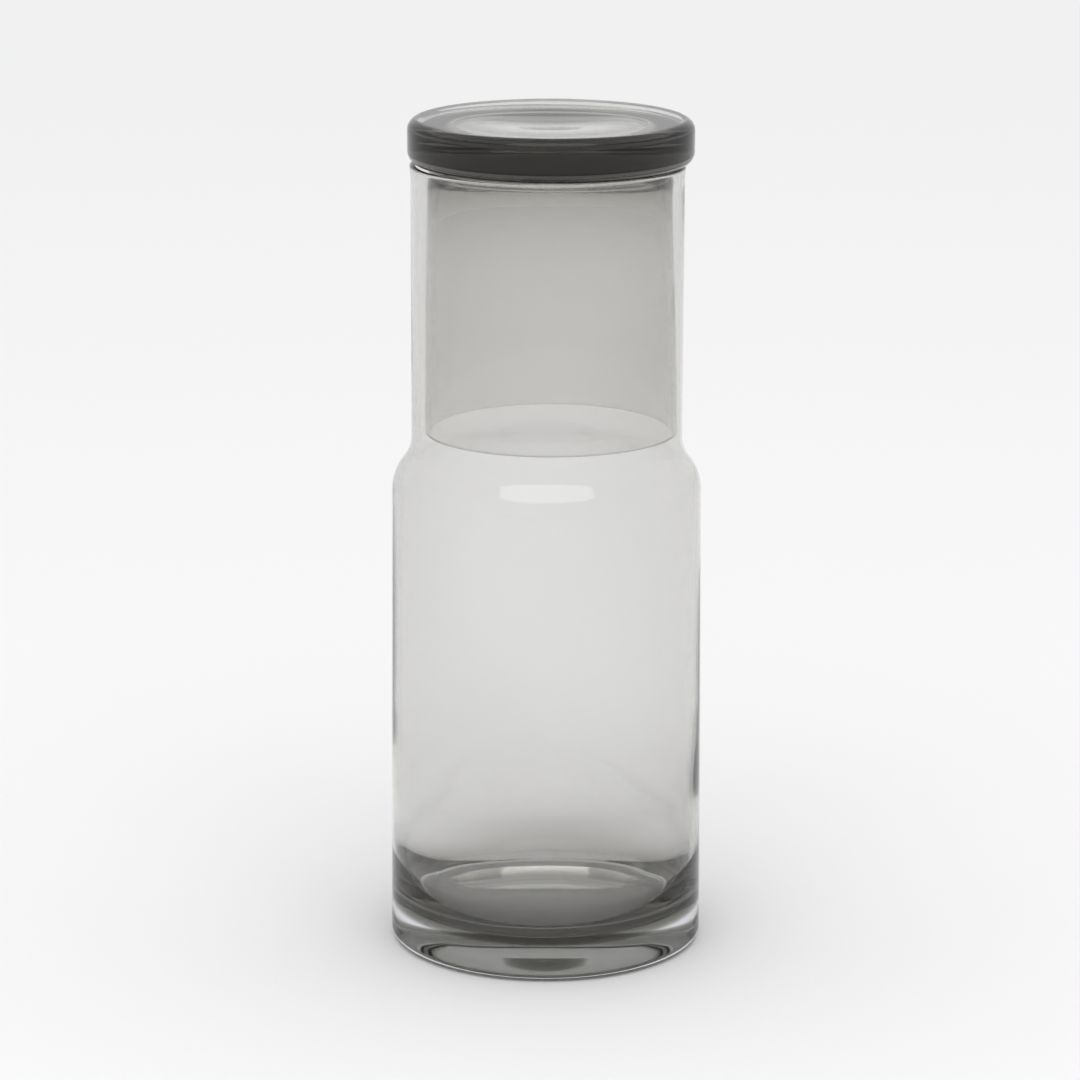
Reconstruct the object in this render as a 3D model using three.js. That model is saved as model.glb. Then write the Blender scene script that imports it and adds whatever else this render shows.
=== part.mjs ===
// Smoke-grey glass carafe, closed by its own drinking tumbler, which stands upside down in the neck.
// Each is a blown smoke-grey cup on a foot of paler glass that is fused to it.
// Millimetres, +Z up, origin at the middle of the carafe's foot on the table.
import * as THREE from 'three';

// Carafe: outside, from the table up
const FOOT_DIAMETER = 88;
const FOOT_EDGE_RADIUS = 2.6;
const STANDING_RING_WIDTH = 6.4;
const PUNT_DEPTH = 3;
const BODY_TAPER = 0.9; // radius lost between the foot and the shoulder
const SHOULDER_HEIGHT = 130.8; // where the straight body starts to turn in
const SHOULDER_RADIUS = 12;
const NECK_FLARE_RADIUS = 11.4;
const NECK_INSET = 5.4; // radius lost between the shoulder and the neck
const NECK_LENGTH = 76.25;
const LIP_BULGE = 0.25; // how far the fire-polished lip stands out from the neck
const LIP_LENGTH = 4;

// Carafe: inside, from the floor up
const SEAM_HEIGHT = 10.4; // where the foot is fused to the vessel, at the outside
const SEAM_DROP = 1.9; // how much lower the seam lies in the middle
const SEAM_FLAT_RADIUS = 33;
const FLOOR_THICKNESS = 2.2;
const BOWL_WIDTH = 8.75;
const BOWL_DEPTH = 16.1;
const WAIST_WALL = 1.5; // wall above the bowl, thinner than the swell
const WAIST_LENGTH = 5;
const SWELL_RISE = 12;
const SWELL_WALL = 1.8; // thickest part of the blown wall
const SWELL_FADE = 25;
const WALL = 1.5; // wall of the upper body and the neck

// Tumbler, as it stands in the neck: its foot is the flange that covers the mouth
const FLANGE_OVERHANG = 1.73; // beyond the neck
const FLANGE_THICKNESS = 12.2;
const FLANGE_TOP_EDGE_RADIUS = 3.1;
const FLANGE_LOWER_EDGE_RADIUS = 3.5;
const FLANGE_LAND_WIDTH = 6.3;
const DISH_DEPTH = 1.6;
const TUMBLER_REACH = 75; // from the flange down to the drinking rim
const TUMBLER_TAPER = 1.6; // radius lost between the drinking rim and the flange
const ROOT_FILLET_HEIGHT = 3;
const RIM_WALL = 1.5;
const CUP_WALL = 1.7; // wall where the rounded floor of the cup begins
const CUP_FLOOR_THICKNESS = 2.3;
const CUP_BOWL_WIDTH = 6;
const CUP_BOWL_DEPTH = 30;

// Fits between the two
const NECK_CLEARANCE = 1.15; // all round, when the tumbler is centred
const TOUCH_GAP = 0.25; // left at the side that the tumbler leans to
const SEAT_GAP = 0.15; // under the flange

// Depth of the three tints
const SMOKE_OPACITY = 0.5;
const PALE_OPACITY = 0.4;
const CLEAR_OPACITY = 0.25;

// Fineness of the facets
const SEGMENTS = 48;
const ARC_STEPS = 5;
const BOWL_STEPS = 7;
const BLEND_STEPS = 5;

// Worked out from the sizes above
const footRadius = FOOT_DIAMETER / 2;
const puntRadius = footRadius - FOOT_EDGE_RADIUS - STANDING_RING_WIDTH;
const shoulderRadius = footRadius - BODY_TAPER;
const neckRadius = shoulderRadius - NECK_INSET;
const boreRadius = neckRadius - WALL;
const shoulderTurn = THREE.MathUtils.radToDeg(
  Math.acos(1 - NECK_INSET / (SHOULDER_RADIUS + NECK_FLARE_RADIUS)),
);
const shoulderReach = SHOULDER_RADIUS + NECK_FLARE_RADIUS;
const shoulderRise = shoulderReach * Math.sin(THREE.MathUtils.degToRad(shoulderTurn));
const neckStart = SHOULDER_HEIGHT + shoulderRise;
const mouthHeight = neckStart + NECK_LENGTH;
const flangeBottom = mouthHeight + SEAT_GAP;
const flangeTop = flangeBottom + FLANGE_THICKNESS;
const flangeRadius = neckRadius + FLANGE_OVERHANG;
const rimRadius = boreRadius - NECK_CLEARANCE;
const rootRadius = rimRadius - TUMBLER_TAPER;
const tumblerLean = NECK_CLEARANCE - TOUCH_GAP;

// A profile point: distance from the axis, and height.
function point(radius, height) {
  return new THREE.Vector2(radius, height);
}

// A stretch of an ellipse, both ends included, with angles in degrees from the outward direction.
function arc(centre, across, up, startAngle, endAngle, steps) {
  const start = THREE.MathUtils.degToRad(startAngle);
  const end = THREE.MathUtils.degToRad(endAngle);
  return new THREE.EllipseCurve(centre.x, centre.y, across, up, start, end, end < start).getPoints(steps);
}

// Points from the first to the last, whose radius eases in and out along the height.
function easedWall(first, last, steps) {
  return Array.from({ length: steps + 1 }, (_, step) => {
    const share = step / steps;
    const eased = THREE.MathUtils.smoothstep(share, 0, 1);
    return point(
      THREE.MathUtils.lerp(first.x, last.x, eased),
      THREE.MathUtils.lerp(first.y, last.y, share),
    );
  });
}

// Joins stretches into one profile, with each shared end kept once.
function joined(...stretches) {
  const nearest = 1e-6;
  const all = stretches.flat();
  return all.filter((here, index) => index === 0 || here.distanceTo(all[index - 1]) > nearest);
}

// Spins a profile that starts and ends on the axis round +Z.
function spun(name, profile, material) {
  const geometry = new THREE.LatheGeometry(profile, SEGMENTS);
  geometry.rotateX(Math.PI / 2);
  const mesh = new THREE.Mesh(geometry, material);
  mesh.name = name;
  return mesh;
}

// Outside radius of the straight, slightly tapered body.
function bodyRadius(height) {
  const share = (height - FOOT_EDGE_RADIUS) / (SHOULDER_HEIGHT - FOOT_EDGE_RADIUS);
  return footRadius - BODY_TAPER * share;
}

// The face where the foot and the vessel are fused, from the axis to the outside.
function carafeSeam() {
  const middleHeight = SEAM_HEIGHT - SEAM_DROP;
  return [
    point(0, middleHeight),
    point(SEAM_FLAT_RADIUS, middleHeight),
    point(bodyRadius(SEAM_HEIGHT), SEAM_HEIGHT),
  ];
}

// Underside of the foot, from the middle of the punt out to its rounded edge.
function footUnderside() {
  const puntSphere = (puntRadius ** 2 + PUNT_DEPTH ** 2) / (2 * PUNT_DEPTH);
  const puntAngle = THREE.MathUtils.radToDeg(Math.asin(puntRadius / puntSphere));
  const edgeCentre = point(footRadius - FOOT_EDGE_RADIUS, FOOT_EDGE_RADIUS);
  return joined(
    arc(point(0, PUNT_DEPTH - puntSphere), puntSphere, puntSphere, 90, 90 - puntAngle, ARC_STEPS),
    arc(edgeCentre, FOOT_EDGE_RADIUS, FOOT_EDGE_RADIUS, -90, 0, ARC_STEPS),
  );
}

// Outside of the vessel, from the shoulder up and over the lip.
function vesselOutside() {
  const shoulderCentre = point(shoulderRadius - SHOULDER_RADIUS, SHOULDER_HEIGHT);
  const flareCentre = point(neckRadius + NECK_FLARE_RADIUS, neckStart);
  const lipRadius = (WALL + LIP_BULGE) / 2;
  const lipHeight = mouthHeight - lipRadius;
  const lipStart = point(neckRadius, mouthHeight - LIP_LENGTH);
  const lipEnd = point(neckRadius + LIP_BULGE, lipHeight);
  return joined(
    arc(shoulderCentre, SHOULDER_RADIUS, SHOULDER_RADIUS, 0, shoulderTurn, ARC_STEPS),
    arc(flareCentre, NECK_FLARE_RADIUS, NECK_FLARE_RADIUS, 180 + shoulderTurn, 180, ARC_STEPS),
    easedWall(lipStart, lipEnd, BLEND_STEPS),
    arc(point(boreRadius + lipRadius, lipHeight), lipRadius, lipRadius, 0, 180, ARC_STEPS),
  );
}

// Inside of the vessel, from the neck down to the middle of its floor.
function vesselInside() {
  const shoulderCentre = point(shoulderRadius - SHOULDER_RADIUS, SHOULDER_HEIGHT);
  const flareCentre = point(neckRadius + NECK_FLARE_RADIUS, neckStart);
  const innerShoulder = SHOULDER_RADIUS - WALL;
  const innerFlare = NECK_FLARE_RADIUS + WALL;
  const floorHeight = SEAM_HEIGHT - SEAM_DROP + FLOOR_THICKNESS;
  const bowlHeight = floorHeight + BOWL_DEPTH;
  const waistHeight = bowlHeight + WAIST_LENGTH;
  const swellHeight = waistHeight + SWELL_RISE;
  const thinHeight = swellHeight + SWELL_FADE;
  const thin = point(bodyRadius(thinHeight) - WALL, thinHeight);
  const swell = point(bodyRadius(swellHeight) - SWELL_WALL, swellHeight);
  const waist = point(bodyRadius(waistHeight) - WAIST_WALL, waistHeight);
  const bowlRadius = bodyRadius(bowlHeight) - WAIST_WALL;
  return joined(
    arc(flareCentre, innerFlare, innerFlare, 180, 180 + shoulderTurn, ARC_STEPS),
    arc(shoulderCentre, innerShoulder, innerShoulder, shoulderTurn, 0, ARC_STEPS),
    easedWall(thin, swell, BLEND_STEPS),
    easedWall(swell, waist, BLEND_STEPS),
    arc(point(bowlRadius - BOWL_WIDTH, bowlHeight), BOWL_WIDTH, BOWL_DEPTH, 0, -90, BOWL_STEPS),
    [point(0, floorHeight)],
  );
}

// Inside of the tumbler's cup, which opens downwards, from the middle of its floor to the drinking rim.
function cupInside() {
  const floorHeight = flangeBottom - CUP_FLOOR_THICKNESS;
  const bowlCentre = point(rootRadius - CUP_WALL - CUP_BOWL_WIDTH, floorHeight - CUP_BOWL_DEPTH);
  const rimEdge = RIM_WALL / 2;
  const rimCentre = point(rimRadius - rimEdge, flangeBottom - TUMBLER_REACH + rimEdge);
  return joined(
    [point(0, floorHeight)],
    arc(bowlCentre, CUP_BOWL_WIDTH, CUP_BOWL_DEPTH, 90, 0, BOWL_STEPS),
    arc(rimCentre, rimEdge, rimEdge, 180, 360, ARC_STEPS),
  );
}

// Outside of the tumbler's cup, from the root of its wall to the middle of the face fused to the flange.
function cupRoot() {
  const filletCentre = point(rimRadius, flangeBottom - ROOT_FILLET_HEIGHT);
  return joined(
    arc(filletCentre, TUMBLER_TAPER, ROOT_FILLET_HEIGHT, 180, 90, ARC_STEPS),
    [point(0, flangeBottom)],
  );
}

// The flange, from the middle of its underside round its edge and in over the dish.
function flange() {
  const lowerRadius = flangeRadius - FLANGE_LOWER_EDGE_RADIUS;
  const lowerCentre = point(lowerRadius, flangeBottom + FLANGE_LOWER_EDGE_RADIUS);
  const upperRadius = flangeRadius - FLANGE_TOP_EDGE_RADIUS;
  const upperCentre = point(upperRadius, flangeTop - FLANGE_TOP_EDGE_RADIUS);
  const dishRadius = upperRadius - FLANGE_LAND_WIDTH;
  const dish = Array.from({ length: BOWL_STEPS + 1 }, (_, step) => {
    const share = 1 - step / BOWL_STEPS;
    const drop = DISH_DEPTH * (1 + Math.cos(Math.PI * share)) / 2;
    return point(dishRadius * share, flangeTop - drop);
  });
  return joined(
    [point(0, flangeBottom)],
    arc(lowerCentre, FLANGE_LOWER_EDGE_RADIUS, FLANGE_LOWER_EDGE_RADIUS, -90, 0, ARC_STEPS),
    arc(upperCentre, FLANGE_TOP_EDGE_RADIUS, FLANGE_TOP_EDGE_RADIUS, 0, 90, ARC_STEPS),
    dish,
  );
}

// Clear glass with a tint, which looks deeper the more opaque it is.
function tintedGlass(opacity) {
  return new THREE.MeshStandardMaterial({
    color: 0x8f908d,
    roughness: 0.04,
    metalness: 0,
    transparent: true,
    opacity,
  });
}

function makeCarafe() {
  const carafe = new THREE.Group();
  const vessel = joined(carafeSeam(), vesselOutside(), vesselInside());
  const foot = joined(footUnderside(), carafeSeam().reverse());
  carafe.add(
    spun('carafe_vessel', vessel, tintedGlass(SMOKE_OPACITY)),
    spun('carafe_foot', foot, tintedGlass(CLEAR_OPACITY)),
  );
  return carafe;
}

function makeTumbler() {
  const tumbler = new THREE.Group();
  const cup = joined(cupInside(), cupRoot());
  tumbler.add(
    spun('tumbler_cup', cup, tintedGlass(SMOKE_OPACITY)),
    spun('tumbler_foot', flange(), tintedGlass(PALE_OPACITY)),
  );
  tumbler.position.x = tumblerLean;
  return tumbler;
}

const carafeWithTumbler = new THREE.Group();
carafeWithTumbler.add(makeCarafe(), makeTumbler());

export default carafeWithTumbler;
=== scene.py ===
"""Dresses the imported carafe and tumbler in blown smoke-grey glass, on a pale studio floor."""

import logging
import math
from dataclasses import dataclass
from enum import Enum

import bpy
from mathutils import Matrix, Vector


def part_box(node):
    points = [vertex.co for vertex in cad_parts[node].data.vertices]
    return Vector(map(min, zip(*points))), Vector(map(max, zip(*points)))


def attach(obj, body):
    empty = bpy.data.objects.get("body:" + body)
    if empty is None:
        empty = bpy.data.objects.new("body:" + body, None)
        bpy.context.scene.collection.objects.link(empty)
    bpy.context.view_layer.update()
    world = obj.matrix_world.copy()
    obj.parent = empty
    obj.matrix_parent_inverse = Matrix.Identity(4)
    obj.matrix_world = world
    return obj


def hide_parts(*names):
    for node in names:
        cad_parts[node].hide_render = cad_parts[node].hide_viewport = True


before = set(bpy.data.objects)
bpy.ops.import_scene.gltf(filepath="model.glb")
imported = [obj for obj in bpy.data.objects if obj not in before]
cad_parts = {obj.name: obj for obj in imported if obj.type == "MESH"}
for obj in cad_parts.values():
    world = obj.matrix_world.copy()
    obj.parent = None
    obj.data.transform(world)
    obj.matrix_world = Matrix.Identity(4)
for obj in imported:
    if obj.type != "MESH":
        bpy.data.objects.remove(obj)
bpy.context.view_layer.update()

LOG = logging.getLogger("carafe_scene")
MM = 0.001
IN_AIR = "in_air"


class Face(Enum):
    """The face of a blown wall that a stretch of profile lies on."""

    OUTER = "outer"
    INNER = "inner"
    FUSED = "fused"


def smoothstep(low: float, high: float, value: float) -> float:
    """Eases from 0 at low to 1 at high.

    Args:
        low: value where the result starts to rise.
        high: value where the result reaches 1.
        value: value to ease.

    Returns:
        The eased share, from 0 to 1.
    """
    share = min(max((value - low) / (high - low), 0.0), 1.0)
    return share * share * (3.0 - 2.0 * share)


@dataclass(frozen=True)
class ProfilePoint:
    """One point of a lathe profile, in metres."""

    radius: float
    height: float
    face: Face


class Profile:
    """A lathe profile that is drawn stretch by stretch, from the axis to the axis."""

    STEP = 2.5 * MM
    ARC_STEP_DEGREES = 6.0
    LEAST_ARC_STEPS = 3
    LEAST_GAP = 1e-7

    def __init__(self, radius: float, height: float, face: Face) -> None:
        """Starts the profile at one point.

        Args:
            radius: distance from the axis.
            height: height above the table.
            face: face of the wall that the profile starts on.
        """
        self.face = face
        self.points = [ProfilePoint(radius, height, face)]

    def on(self, face: Face) -> "Profile":
        """Puts the stretches that follow on another face of the wall."""
        self.face = face
        return self

    def add(self, radius: float, height: float) -> None:
        """Adds one point, unless the profile is already there.

        Args:
            radius: distance from the axis.
            height: height above the table.
        """
        last = self.points[-1]
        if math.hypot(radius - last.radius, height - last.height) > self.LEAST_GAP:
            self.points.append(ProfilePoint(radius, height, self.face))

    def line(self, radius: float, height: float) -> "Profile":
        """Draws a straight stretch, split into short steps.

        Args:
            radius: distance from the axis at the end.
            height: height at the end.

        Returns:
            The profile, so that stretches can be chained.
        """
        return self.eased(radius, height, straight=True)

    def eased(self, radius: float, height: float, straight: bool = False) -> "Profile":
        """Draws a stretch whose radius eases in and out along its length.

        Args:
            radius: distance from the axis at the end.
            height: height at the end.
            straight: True draws a plain straight line instead.

        Returns:
            The profile, so that stretches can be chained.
        """
        start = self.points[-1]
        length = math.hypot(radius - start.radius, height - start.height)
        steps = max(1, math.ceil(length / self.STEP))
        for step in range(1, steps + 1):
            share = step / steps
            across = share if straight else smoothstep(0.0, 1.0, share)
            self.add(
                start.radius + (radius - start.radius) * across,
                start.height + (height - start.height) * share,
            )
        return self

    def arc(
        self,
        centre: tuple[float, float],
        across: float,
        up: float,
        first: float,
        last: float,
    ) -> "Profile":
        """Draws a stretch of an ellipse.

        Args:
            centre: radius and height of the ellipse's centre.
            across: half width of the ellipse.
            up: half height of the ellipse.
            first: angle where the stretch starts, in degrees from straight out.
            last: angle where it ends.

        Returns:
            The profile, so that stretches can be chained.
        """
        steps = max(self.LEAST_ARC_STEPS, math.ceil(abs(last - first) / self.ARC_STEP_DEGREES))
        for step in range(steps + 1):
            angle = math.radians(first + (last - first) * step / steps)
            self.add(centre[0] + across * math.cos(angle), centre[1] + up * math.sin(angle))
        return self


@dataclass(frozen=True)
class Wave:
    """One slow wave in a blown surface.

    Attributes:
        turns: number of waves round the axis.
        rise: how fast the wave turns with height, in radians per metre.
        depth: how far the wave goes in and out, in metres.
        phase: angle where it starts, in radians.
    """

    turns: int
    rise: float
    depth: float
    phase: float

    def at(self, angle: float, height: float) -> float:
        """Gives the wave's radial offset at an angle and a height, in metres."""
        return self.depth * math.sin(self.turns * angle + self.rise * height + self.phase)


@dataclass(frozen=True)
class HandBlown:
    """How far a hand-blown wall strays from a true lathe shape.

    Attributes:
        outer_waves: waves of the outside and of the fused faces.
        inner_waves: waves of the inside.
        core_drift: how far the inside lies off the axis along X, at the floor.
        drift_fade: heights between which the inside comes back to the axis.
        calm_radius: radius inside which the waves die away towards the axis.
    """

    outer_waves: tuple[Wave, ...]
    inner_waves: tuple[Wave, ...]
    core_drift: float = 0.0
    drift_fade: tuple[float, float] = (0.0, 1.0)
    calm_radius: float = 25 * MM

    def place(self, point: ProfilePoint, angle: float) -> Vector:
        """Places a profile point round the axis.

        Args:
            point: point of the profile.
            angle: angle round the axis, in radians from +X.

        Returns:
            The point in space, about the piece's own axis.
        """
        waves = self.inner_waves if point.face is Face.INNER else self.outer_waves
        stray = sum(wave.at(angle, point.height) for wave in waves)
        radius = point.radius + stray * smoothstep(0.0, self.calm_radius, point.radius)
        drift = 0.0
        if point.face is Face.INNER:
            drift = self.core_drift * (1.0 - smoothstep(*self.drift_fade, point.height))
        return Vector((radius * math.cos(angle) + drift, radius * math.sin(angle), point.height))


def spun_mesh(name: str, profile: Profile, blown: HandBlown, axis_x: float, segments: int) -> bpy.types.Mesh:
    """Spins a profile into a closed smooth mesh, with an attribute that is 0 on its fused faces.

    Args:
        name: name of the mesh.
        profile: profile that starts and ends on the axis, with the glass on its left.
        blown: how the surface strays from a true lathe shape.
        axis_x: place of the axis along X.
        segments: number of faces round the axis.

    Returns:
        The mesh.
    """
    first, *rings, last = profile.points
    shift = Vector((axis_x, 0.0, 0.0))
    vertices = [blown.place(first, 0.0) + shift]
    for ring in rings:
        for segment in range(segments):
            vertices.append(blown.place(ring, math.tau * segment / segments) + shift)
    vertices.append(blown.place(last, 0.0) + shift)
    end = len(vertices) - 1
    last_ring_start = 1 + (len(rings) - 1) * segments
    in_air = [float(point.face is not Face.FUSED) for point in profile.points[1:]]
    faces: list[tuple[int, ...]] = []
    for segment in range(segments):
        following = (segment + 1) % segments
        faces.append((0, 1 + following, 1 + segment))
        for ring in range(len(rings) - 1):
            low = 1 + ring * segments
            high = low + segments
            faces.append((low + segment, low + following, high + following, high + segment))
        faces.append((last_ring_start + segment, last_ring_start + following, end))
    mesh = bpy.data.meshes.new(name)
    mesh.from_pydata(vertices, [], faces)
    mesh.polygons.foreach_set("use_smooth", [True] * len(mesh.polygons))
    mesh.attributes.new(IN_AIR, "FLOAT", "FACE").data.foreach_set("value", in_air * segments)
    seams = {ring for ring in range(len(rings)) if in_air[ring] != in_air[ring + 1]}
    for edge in mesh.edges:
        ring_of_first, ring_of_second = ((vertex - 1) // segments for vertex in edge.vertices)
        edge.use_edge_sharp = ring_of_first == ring_of_second and ring_of_first in seams
    mesh.update()
    return mesh


class NodeGroup:
    """A shader node group with named sockets, made once and placed in each material that uses it."""

    def __init__(self, name: str, inputs: dict[str, float], outputs: tuple[str, ...]) -> None:
        """Makes an empty group with its sockets.

        Args:
            name: name of the group.
            inputs: name and default of each value that goes in.
            outputs: name of each value that comes out.
        """
        self.tree = bpy.data.node_groups.new(name, "ShaderNodeTree")
        for socket, default in inputs.items():
            made = self.tree.interface.new_socket(socket, in_out="INPUT", socket_type="NodeSocketFloat")
            made.default_value = default
        for socket in outputs:
            self.tree.interface.new_socket(socket, in_out="OUTPUT", socket_type="NodeSocketFloat")
        self.given = self.tree.nodes.new("NodeGroupInput")
        self.result = self.tree.nodes.new("NodeGroupOutput")

    def add(self, kind: str, **settings: str) -> bpy.types.ShaderNode:
        """Adds a node to the group and sets its properties.

        Args:
            kind: Blender's name of the kind of node.
            settings: value of each property.

        Returns:
            The node.
        """
        node = self.tree.nodes.new(kind)
        for setting, value in settings.items():
            setattr(node, setting, value)
        return node

    def link(self, source: bpy.types.NodeSocket, target: bpy.types.NodeSocket) -> None:
        """Links two sockets of the group."""
        self.tree.links.new(source, target)

    def calculate(
        self,
        operation: str,
        first: bpy.types.NodeSocket,
        second: bpy.types.NodeSocket,
    ) -> bpy.types.NodeSocket:
        """Adds a Math node between two sockets.

        Args:
            operation: Blender's name of the operation.
            first: socket of the first value.
            second: socket of the second value.

        Returns:
            The node's output socket.
        """
        node = self.add("ShaderNodeMath", operation=operation)
        self.link(first, node.inputs[0])
        self.link(second, node.inputs[1])
        return node.outputs[0]


class GlassEffects:
    """The node groups that the three glasses share."""

    RIPPLE_DETAIL = 1.0
    HAZE_DETAIL = 3.0
    HAZE_STARTS = 0.45
    HAZE_FULL = 0.8

    def __init__(self) -> None:
        """Builds the groups."""
        self.ripple = self.make_ripple()
        self.seeds = self.make_seeds()
        self.handling = self.make_handling()

    @staticmethod
    def make_ripple() -> NodeGroup:
        """Makes the faint ripple that blowing and fire polishing leave, as a height.

        Returns:
            The group.
        """
        group = NodeGroup("blown_ripple", {"Around": 40.0, "Along": 14.0}, ("Height",))
        place = group.add("ShaderNodeTexCoord")
        stretch = group.add("ShaderNodeVectorMath", operation="MULTIPLY")
        scales = group.add("ShaderNodeCombineXYZ")
        group.link(group.given.outputs["Around"], scales.inputs["X"])
        group.link(group.given.outputs["Around"], scales.inputs["Y"])
        group.link(group.given.outputs["Along"], scales.inputs["Z"])
        group.link(place.outputs["Object"], stretch.inputs[0])
        group.link(scales.outputs["Vector"], stretch.inputs[1])
        noise = group.add("ShaderNodeTexNoise")
        noise.inputs["Scale"].default_value = 1.0
        noise.inputs["Detail"].default_value = GlassEffects.RIPPLE_DETAIL
        group.link(stretch.outputs["Vector"], noise.inputs["Vector"])
        group.link(noise.outputs["Fac"], group.result.inputs["Height"])
        return group

    @staticmethod
    def make_seeds() -> NodeGroup:
        """Makes the sparse dark seeds that show on the glass, as a mask.

        Returns:
            The group.
        """
        group = NodeGroup("glass_seeds", {"Spacing": 70.0, "Share": 0.2, "Size": 0.03}, ("Mask",))
        place = group.add("ShaderNodeTexCoord")
        cells = group.add("ShaderNodeTexVoronoi")
        group.link(place.outputs["Object"], cells.inputs["Vector"])
        group.link(group.given.outputs["Spacing"], cells.inputs["Scale"])
        draw = group.add("ShaderNodeSeparateColor")
        group.link(cells.outputs["Color"], draw.inputs["Color"])
        chosen = group.calculate("LESS_THAN", draw.outputs["Red"], group.given.outputs["Share"])
        reach = group.calculate("MULTIPLY", draw.outputs["Green"], group.given.outputs["Size"])
        inside = group.calculate("LESS_THAN", cells.outputs["Distance"], reach)
        group.link(group.calculate("MULTIPLY", chosen, inside), group.result.inputs["Mask"])
        return group

    @staticmethod
    def make_handling() -> NodeGroup:
        """Makes the faint uneven haze of a handled surface, as a roughness.

        Returns:
            The group.
        """
        group = NodeGroup("handling_haze", {"Clear": 0.0, "Hazed": 0.03, "Scale": 30.0}, ("Roughness",))
        place = group.add("ShaderNodeTexCoord")
        noise = group.add("ShaderNodeTexNoise")
        noise.inputs["Detail"].default_value = GlassEffects.HAZE_DETAIL
        group.link(place.outputs["Object"], noise.inputs["Vector"])
        group.link(group.given.outputs["Scale"], noise.inputs["Scale"])
        spread = group.add("ShaderNodeMapRange", interpolation_type="SMOOTHSTEP")
        spread.inputs["From Min"].default_value = GlassEffects.HAZE_STARTS
        spread.inputs["From Max"].default_value = GlassEffects.HAZE_FULL
        group.link(noise.outputs["Fac"], spread.inputs["Value"])
        group.link(group.given.outputs["Clear"], spread.inputs["To Min"])
        group.link(group.given.outputs["Hazed"], spread.inputs["To Max"])
        group.link(spread.outputs["Result"], group.result.inputs["Roughness"])
        return group


@dataclass(frozen=True)
class Glass:
    """A blown glass whose tint deepens with its thickness.

    Attributes:
        slot: the record's material slot.
        absorption: how strongly red, green and blue light are taken up, per metre.
        density_margin: how far the absorption's density lies above its strongest colour.
        refraction: index of refraction.
        surface_colour: colour of the clean surface.
        seed_share: share of the cells that hold a seed.
        seed_size: size of the largest seed, as a share of a cell.
        seed_colour: colour of a seed.
        ripple_around: ripples per metre round the wall.
        ripple_along: ripples per metre up the wall.
        ripple_height: height of a ripple.
        haze: roughness where the surface has been handled.
    """

    slot: str
    absorption: tuple[float, float, float]
    density_margin: float = 1.1
    refraction: float = 1.52
    surface_colour: tuple[float, float, float, float] = (1.0, 1.0, 1.0, 1.0)
    seed_share: float = 0.2
    seed_size: float = 0.03
    seed_colour: tuple[float, float, float, float] = (0.05, 0.05, 0.05, 1.0)
    ripple_around: float = 40.0
    ripple_along: float = 14.0
    ripple_height: float = 0.02 * MM
    haze: float = 0.02

    def material(self, effects: GlassEffects) -> bpy.types.Material:
        """Makes the fire-polished glass, with the tint inside it and no surface where it is fused.

        Args:
            effects: node groups that the glasses share.

        Returns:
            The material.
        """
        material = bpy.data.materials.new(self.slot)
        material.use_nodes = True
        tree = material.node_tree
        shader = tree.nodes["Principled BSDF"]
        shader.inputs["Metallic"].default_value = 0.0
        shader.inputs["IOR"].default_value = self.refraction
        shader.inputs["Transmission Weight"].default_value = 1.0
        tint = tree.nodes.new("ShaderNodeVolumeAbsorption")
        density = max(self.absorption) * self.density_margin
        tint.inputs["Color"].default_value = (*(1.0 - share / density for share in self.absorption), 1.0)
        tint.inputs["Density"].default_value = density
        tree.links.new(tint.outputs["Volume"], tree.nodes["Material Output"].inputs["Volume"])

        in_air = tree.nodes.new("ShaderNodeAttribute")
        in_air.attribute_name = IN_AIR
        tree.links.new(in_air.outputs["Fac"], shader.inputs["Alpha"])

        seeds = self.placed(tree, effects.seeds, Share=self.seed_share, Size=self.seed_size)
        colour = tree.nodes.new("ShaderNodeMix")
        colour.data_type = "RGBA"
        colour.inputs["A"].default_value = self.surface_colour
        colour.inputs["B"].default_value = self.seed_colour
        tree.links.new(seeds.outputs["Mask"], colour.inputs["Factor"])
        tree.links.new(colour.outputs["Result"], shader.inputs["Base Color"])

        handling = self.placed(tree, effects.handling, Hazed=self.haze)
        tree.links.new(handling.outputs["Roughness"], shader.inputs["Roughness"])

        ripple = self.placed(tree, effects.ripple, Around=self.ripple_around, Along=self.ripple_along)
        bump = tree.nodes.new("ShaderNodeBump")
        bump.inputs["Distance"].default_value = self.ripple_height
        tree.links.new(ripple.outputs["Height"], bump.inputs["Height"])
        tree.links.new(bump.outputs["Normal"], shader.inputs["Normal"])
        return material

    @staticmethod
    def placed(tree: bpy.types.NodeTree, group: NodeGroup, **values: float) -> bpy.types.ShaderNode:
        """Places a node group in a material and sets its values.

        Args:
            tree: node tree of the material.
            group: group to place.
            values: value of each named input.

        Returns:
            The group's node.
        """
        node = tree.nodes.new("ShaderNodeGroup")
        node.node_tree = group.tree
        for socket, value in values.items():
            node.inputs[socket].default_value = value
        return node


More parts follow.
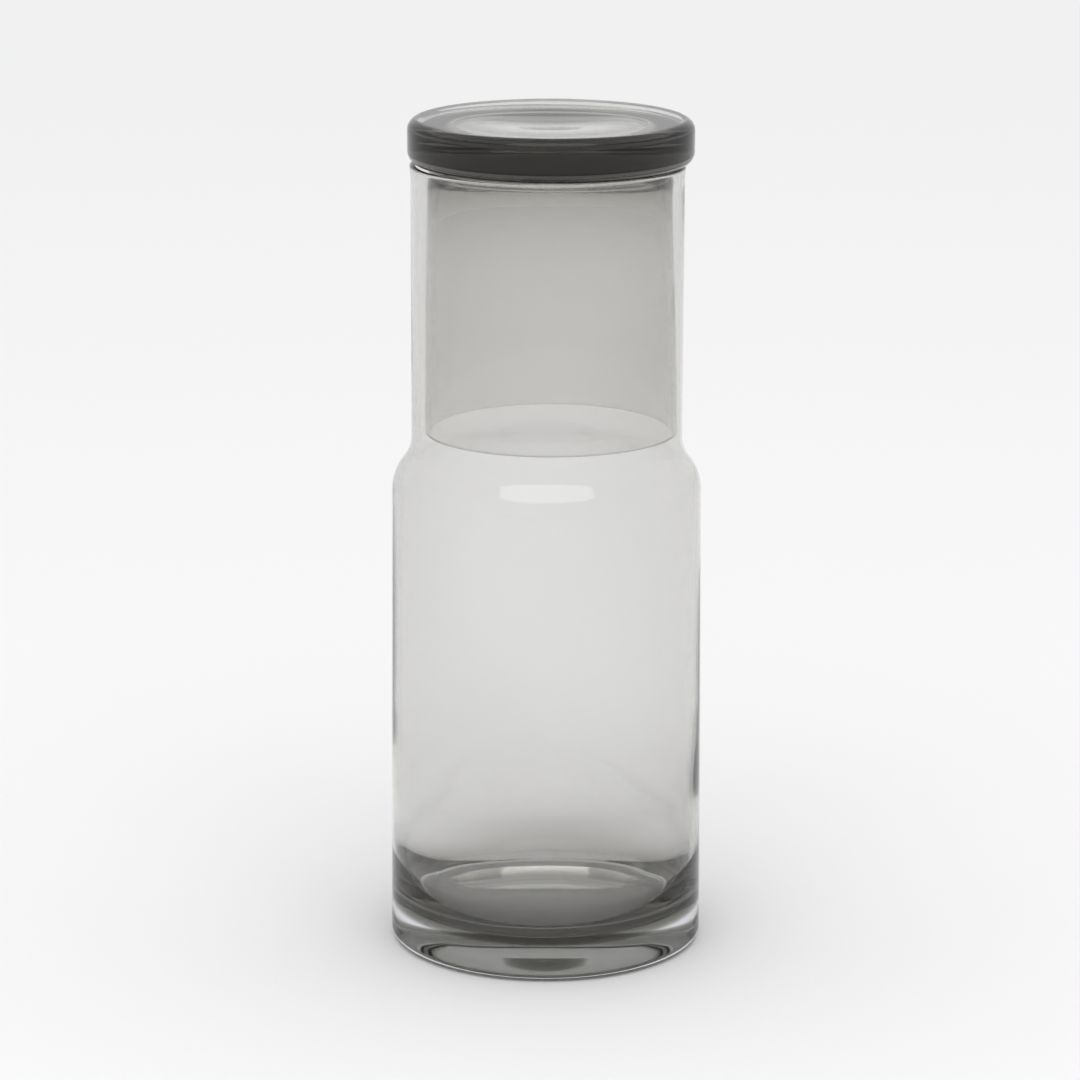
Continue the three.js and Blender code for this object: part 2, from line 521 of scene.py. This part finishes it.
@dataclass
class Glassware:
    """A smoke-grey blown cup on a foot of paler glass that is fused to it."""

    body: str
    cup_node: str
    foot_node: str
    cup_glass: Glass
    foot_glass: Glass
    blown: HandBlown
    segments: int = 192
    # Bare space between the cup and its foot, so that their fused faces never cross.
    fused_gap: float = 0.02 * MM

    def __post_init__(self) -> None:
        """Reads the boxes of the cup and of the foot from the frame."""
        self.cup_low, self.cup_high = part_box(self.cup_node)
        self.foot_low, self.foot_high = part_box(self.foot_node)

    @property
    def axis_x(self) -> float:
        """Place of the axis along X."""
        return (self.foot_low.x + self.foot_high.x) / 2

    @property
    def foot_radius(self) -> float:
        """Radius of the foot."""
        return (self.foot_high.x - self.foot_low.x) / 2

    def cup_profile(self) -> Profile:
        """Draws the cup's profile."""
        raise NotImplementedError

    def foot_profile(self) -> Profile:
        """Draws the foot's profile."""
        raise NotImplementedError

    def build(self, effects: GlassEffects) -> None:
        """Builds the cup and the foot.

        Args:
            effects: node groups that the glasses share.
        """
        self.build_piece(self.cup_node, self.cup_profile(), self.cup_glass, effects)
        self.build_piece(self.foot_node, self.foot_profile(), self.foot_glass, effects)

    def build_piece(self, node: str, profile: Profile, glass: Glass, effects: GlassEffects) -> None:
        """Builds one piece of glass, dresses it and puts it on its body.

        Args:
            node: solid of the frame that the piece stands for.
            profile: the piece's profile.
            glass: finish of the piece.
            effects: node groups that the glasses share.
        """
        name = f"{node}_blown"
        mesh = spun_mesh(name, profile, self.blown, self.axis_x, self.segments)
        mesh.materials.append(glass.material(effects))
        piece = bpy.data.objects.new(name, mesh)
        bpy.context.scene.collection.objects.link(piece)
        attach(piece, self.body)
        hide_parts(node)
        LOG.info("%s: %d faces on body %s", name, len(mesh.polygons), self.body)


@dataclass
class Carafe(Glassware):
    """The carafe: clear foot, straight smoke-grey body, rounded shoulder, neck and fire-polished lip."""

    # The foot and its punt.
    foot_edge: float = 2.6 * MM
    ring_width: float = 6.4 * MM
    punt_depth: float = 3.0 * MM
    # The outside, from the body up to the lip.
    body_taper: float = 0.9 * MM
    shoulder_height: float = 130.8 * MM
    shoulder_radius: float = 12.0 * MM
    flare_radius: float = 11.4 * MM
    neck_inset: float = 5.4 * MM
    lip_bulge: float = 0.25 * MM
    lip_length: float = 4.0 * MM
    # The inside: a bowl on a flat floor, then a wall that is a little thicker above the bowl.
    floor_thickness: float = 2.2 * MM
    seam_radius: float = 33.0 * MM
    bowl_width: float = 8.75 * MM
    bowl_depth: float = 16.1 * MM
    waist_wall: float = 1.5 * MM
    waist_length: float = 5.0 * MM
    swell_rise: float = 12.0 * MM
    swell_wall: float = 1.8 * MM
    swell_fade: float = 25.0 * MM
    wall: float = 1.5 * MM

    @property
    def neck_radius(self) -> float:
        """Outside radius of the neck."""
        return self.foot_radius - self.body_taper - self.neck_inset

    def body_radius(self, height: float) -> float:
        """Outside radius of the straight body at a height."""
        share = (height - self.foot_edge) / (self.shoulder_height - self.foot_edge)
        return self.foot_radius - self.body_taper * share

    def foot_profile(self) -> Profile:
        """Draws the punt, the standing ring, the rounded edge and the face that is fused to the cup.

        Returns:
            The foot's profile.
        """
        edge = self.foot_edge
        punt_radius = self.foot_radius - edge - self.ring_width
        punt_sphere = (punt_radius**2 + self.punt_depth**2) / (2 * self.punt_depth)
        punt_angle = math.degrees(math.asin(punt_radius / punt_sphere))
        drawn = Profile(0.0, self.punt_depth, Face.OUTER)
        drawn.arc((0.0, self.punt_depth - punt_sphere), punt_sphere, punt_sphere, 90, 90 - punt_angle)
        drawn.line(self.foot_radius - edge, 0.0)
        drawn.arc((self.foot_radius - edge, edge), edge, edge, -90, 0)
        drawn.line(self.body_radius(self.foot_high.z), self.foot_high.z)
        drawn.on(Face.FUSED)
        drawn.line(self.seam_radius, self.cup_low.z)
        drawn.line(0.0, self.cup_low.z)
        return drawn

    def cup_profile(self) -> Profile:
        """Draws the fused underside, the outside, the lip and the inside, down to the middle of the floor.

        Returns:
            The cup's profile.
        """
        underside = self.cup_low.z + self.fused_gap
        seam_edge = self.foot_high.z + self.fused_gap
        shoulder_edge = self.foot_radius - self.body_taper
        turn = math.degrees(math.acos(1 - self.neck_inset / (self.shoulder_radius + self.flare_radius)))
        rise = (self.shoulder_radius + self.flare_radius) * math.sin(math.radians(turn))
        shoulder = (shoulder_edge - self.shoulder_radius, self.shoulder_height)
        flare = (self.neck_radius + self.flare_radius, self.shoulder_height + rise)
        lip = (self.wall + self.lip_bulge) / 2
        lip_height = self.cup_high.z - lip
        bore = self.neck_radius - self.wall
        floor = self.cup_low.z + self.floor_thickness
        bowl_height = floor + self.bowl_depth
        waist_height = bowl_height + self.waist_length
        swell_height = waist_height + self.swell_rise
        thin_height = swell_height + self.swell_fade
        bowl_radius = self.body_radius(bowl_height) - self.waist_wall

        drawn = Profile(0.0, underside, Face.FUSED)
        drawn.line(self.seam_radius, underside)
        drawn.line(self.body_radius(seam_edge), seam_edge)
        drawn.on(Face.OUTER)
        drawn.line(shoulder_edge, self.shoulder_height)
        drawn.arc(shoulder, self.shoulder_radius, self.shoulder_radius, 0, turn)
        drawn.arc(flare, self.flare_radius, self.flare_radius, 180 + turn, 180)
        drawn.line(self.neck_radius, self.cup_high.z - self.lip_length)
        drawn.eased(self.neck_radius + self.lip_bulge, lip_height)
        drawn.arc((bore + lip, lip_height), lip, lip, 0, 180)
        drawn.on(Face.INNER)
        drawn.line(bore, flare[1])
        drawn.arc(flare, self.flare_radius + self.wall, self.flare_radius + self.wall, 180, 180 + turn)
        drawn.arc(shoulder, self.shoulder_radius - self.wall, self.shoulder_radius - self.wall, turn, 0)
        drawn.line(self.body_radius(thin_height) - self.wall, thin_height)
        drawn.eased(self.body_radius(swell_height) - self.swell_wall, swell_height)
        drawn.eased(self.body_radius(waist_height) - self.waist_wall, waist_height)
        drawn.line(bowl_radius, bowl_height)
        drawn.arc((bowl_radius - self.bowl_width, bowl_height), self.bowl_width, self.bowl_depth, 0, -90)
        drawn.line(0.0, floor)
        return drawn


@dataclass
class Tumbler(Glassware):
    """The tumbler, upside down in the neck: its pale foot is the flange that covers the mouth."""

    # The flange and its dished top.
    top_edge: float = 3.1 * MM
    lower_edge: float = 3.5 * MM
    land_width: float = 6.3 * MM
    dish_depth: float = 1.6 * MM
    # The cup's outside.
    rim_inset: float = 4.38 * MM
    taper: float = 1.6 * MM
    root_fillet: float = 3.0 * MM
    # The cup's inside and the raised face that is fused to the flange.
    rim_wall: float = 1.5 * MM
    cup_wall: float = 0.8 * MM
    seam_radius: float = 26.0 * MM
    seam_rise: float = 2.5 * MM
    floor_thickness: float = 1.2 * MM
    bowl_width: float = 6.2 * MM
    bowl_depth: float = 43.0 * MM
    dish_steps: int = 24

    @property
    def rim_radius(self) -> float:
        """Outside radius of the drinking rim."""
        return self.foot_radius - self.rim_inset

    def cup_profile(self) -> Profile:
        """Draws the inside of the cup, the drinking rim, the wall and the face that is fused to the foot.

        Returns:
            The cup's profile.
        """
        root = self.foot_low.z - self.fused_gap
        top = root + self.seam_rise
        floor = top - self.floor_thickness
        root_radius = self.rim_radius - self.taper
        inside = root_radius - self.cup_wall
        half_rim = self.rim_wall / 2
        rim_height = self.cup_low.z + half_rim
        bowl = (inside - self.bowl_width, floor - self.bowl_depth)
        fillet = (self.rim_radius, root - self.root_fillet)

        drawn = Profile(0.0, floor, Face.INNER)
        drawn.line(bowl[0], floor)
        drawn.arc(bowl, self.bowl_width, self.bowl_depth, 90, 0)
        drawn.line(self.rim_radius - self.rim_wall, rim_height)
        drawn.arc((self.rim_radius - half_rim, rim_height), half_rim, half_rim, 180, 360)
        drawn.on(Face.OUTER)
        drawn.line(root_radius, root - self.root_fillet)
        drawn.arc(fillet, self.taper, self.root_fillet, 180, 90)
        drawn.on(Face.FUSED)
        drawn.line(self.seam_radius, top)
        drawn.line(0.0, top)
        return drawn

    def foot_profile(self) -> Profile:
        """Draws the fused underside, the rounded flange and its dished top.

        Returns:
            The foot's profile.
        """
        low = self.foot_low.z
        high = self.foot_high.z
        flange = self.foot_radius
        lower = self.lower_edge
        upper = self.top_edge
        dish = flange - upper - self.land_width

        drawn = Profile(0.0, low + self.seam_rise, Face.FUSED)
        drawn.line(self.seam_radius, low + self.seam_rise)
        drawn.line(self.rim_radius, low)
        drawn.on(Face.OUTER)
        drawn.line(flange - lower, low)
        drawn.arc((flange - lower, low + lower), lower, lower, -90, 0)
        drawn.line(flange, high - upper)
        drawn.arc((flange - upper, high - upper), upper, upper, 0, 90)
        drawn.line(dish, high)
        for step in range(1, self.dish_steps + 1):
            share = 1 - step / self.dish_steps
            drop = self.dish_depth * (1 + math.cos(math.pi * share)) / 2
            drawn.add(dish * share, high - drop)
        return drawn


@dataclass(frozen=True)
class StudioCamera:
    """The camera, at the photograph's viewing angle: angles in degrees, lens and sensor in millimetres."""

    place: tuple[float, float, float] = (-1.84 * MM, -1133.61 * MM, 404.54 * MM)
    pitch: float = 14.315
    roll: float = -0.151
    lens: float = 139.09
    sensor: float = 36.0

    def build(self) -> None:
        """Makes the camera and sets it as the scene's."""
        pitch = math.radians(self.pitch)
        roll = math.radians(self.roll)
        forward = Vector((0.0, math.cos(pitch), -math.sin(pitch)))
        level_up = Vector((0.0, math.sin(pitch), math.cos(pitch)))
        level_right = Vector((1.0, 0.0, 0.0))
        right = level_right * math.cos(roll) - level_up * math.sin(roll)
        up = level_right * math.sin(roll) + level_up * math.cos(roll)
        data = bpy.data.cameras.new("photo_camera")
        data.lens = self.lens
        data.sensor_width = self.sensor
        camera = bpy.data.objects.new("photo_camera", data)
        turn = Matrix((right, up, -forward)).transposed().to_4x4()
        camera.matrix_world = Matrix.Translation(self.place) @ turn
        bpy.context.scene.collection.objects.link(camera)
        bpy.context.scene.camera = camera
        LOG.info("camera at %s", self.place)


@dataclass(frozen=True)
class Softbox:
    """A soft oval light that faces the middle of the object.

    Attributes:
        name: name of the light.
        place: where its middle is, in metres.
        size: width and height, in metres.
        brightness: light that it sends out from each part of its face.
        colour: colour of the light.
        aim: point that it faces, in metres.
    """

    name: str
    place: tuple[float, float, float]
    size: tuple[float, float]
    brightness: float
    colour: tuple[float, float, float] = (1.0, 1.0, 1.0)
    aim: tuple[float, float, float] = (0.0, 0.0, 0.12)

    def build(self) -> None:
        """Makes the light."""
        data = bpy.data.lights.new(self.name, "AREA")
        data.shape = "ELLIPSE"
        data.size, data.size_y = self.size
        area = math.pi * self.size[0] * self.size[1] / 4
        data.energy = self.brightness * math.pi * area
        data.color = self.colour
        light = bpy.data.objects.new(self.name, data)
        towards = Vector(self.aim) - Vector(self.place)
        light.rotation_euler = towards.to_track_quat("-Z", "Y").to_euler()
        light.location = self.place
        bpy.context.scene.collection.objects.link(light)
        LOG.info("softbox %s", self.name)


@dataclass(frozen=True)
class Studio:
    """The pale floor, the light round it and the softboxes."""

    floor_reach: float = 40.0
    floor_drop: float = 0.2 * MM
    floor_colour: tuple[float, float, float, float] = (0.95, 0.95, 0.955, 1.0)
    floor_roughness: float = 1.0
    floor_shine: float = 0.0
    sky_colour: tuple[float, float, float, float] = (1.0, 1.0, 1.0, 1.0)
    sky_strength: float = 0.935
    tone_gamma: float = 0.8
    glass_bounces: int = 32
    mirror_bounces: int = 16
    fused_face_bounces: int = 64
    softboxes: tuple[Softbox, ...] = (
        Softbox("overhead_softbox", (0.0, -0.75, 1.25), (1.5, 0.82), 1.0),
    )

    def build(self) -> None:
        """Makes the floor, the surrounding light, the softboxes and the picture's tones."""
        self.build_floor()
        self.build_sky()
        for softbox in self.softboxes:
            softbox.build()
        scene = bpy.context.scene
        scene.view_settings.view_transform = "Standard"
        scene.view_settings.gamma = self.tone_gamma
        scene.cycles.max_bounces = self.glass_bounces
        scene.cycles.transmission_bounces = self.glass_bounces
        scene.cycles.glossy_bounces = self.mirror_bounces
        scene.cycles.transparent_max_bounces = self.fused_face_bounces

    def build_floor(self) -> None:
        """Makes the floor, just under the carafe's foot."""
        mesh = bpy.data.meshes.new("studio_floor")
        reach = self.floor_reach
        corners = [(-reach, -reach, 0.0), (reach, -reach, 0.0), (reach, reach, 0.0), (-reach, reach, 0.0)]
        mesh.from_pydata(corners, [], [(0, 1, 2, 3)])
        material = bpy.data.materials.new("pale_paper")
        material.use_nodes = True
        shader = material.node_tree.nodes["Principled BSDF"]
        shader.inputs["Base Color"].default_value = self.floor_colour
        shader.inputs["Roughness"].default_value = self.floor_roughness
        shader.inputs["Specular IOR Level"].default_value = self.floor_shine
        mesh.materials.append(material)
        floor = bpy.data.objects.new("studio_floor", mesh)
        floor.location.z = -self.floor_drop
        bpy.context.scene.collection.objects.link(floor)
        LOG.info("floor")

    def build_sky(self) -> None:
        """Makes the pale light that comes from all round."""
        world = bpy.data.worlds.new("studio_light")
        world.use_nodes = True
        background = world.node_tree.nodes["Background"]
        background.inputs["Color"].default_value = self.sky_colour
        background.inputs["Strength"].default_value = self.sky_strength
        bpy.context.scene.world = world


SMOKE = Glass("smoke_glass", (75.0, 76.5, 82.0))
PALE_SMOKE = Glass("pale_smoke_glass", (30.0, 30.4, 31.2))
CLEAR = Glass("clear_glass", (2.7, 2.4, 2.0))
CARAFE_BLOWN = HandBlown(
    outer_waves=(
        Wave(2, 21.0, 0.03 * MM, 0.4),
        Wave(3, -34.0, 0.02 * MM, 1.9),
    ),
    inner_waves=(
        Wave(2, 27.0, 0.05 * MM, 2.2),
        Wave(3, -41.0, 0.04 * MM, 0.7),
        Wave(5, 63.0, 0.02 * MM, 4.1),
    ),
    core_drift=-0.45 * MM,
    drift_fade=(30 * MM, 60 * MM),
)
TUMBLER_BLOWN = HandBlown(
    outer_waves=(Wave(2, 30.0, 0.02 * MM, 1.1),),
    inner_waves=(
        Wave(2, 25.0, 0.04 * MM, 3.0),
        Wave(4, -50.0, 0.02 * MM, 0.2),
    ),
)


def main() -> None:
    """Builds the camera, the studio and the two pieces of glass."""
    logging.basicConfig(level=logging.INFO, format="%(name)s: %(message)s")
    StudioCamera().build()
    Studio().build()
    effects = GlassEffects()
    Carafe("carafe", "carafe_vessel", "carafe_foot", SMOKE, CLEAR, CARAFE_BLOWN).build(effects)
    Tumbler("tumbler", "tumbler_cup", "tumbler_foot", SMOKE, PALE_SMOKE, TUMBLER_BLOWN).build(effects)


if __name__ == "__main__":
    main()
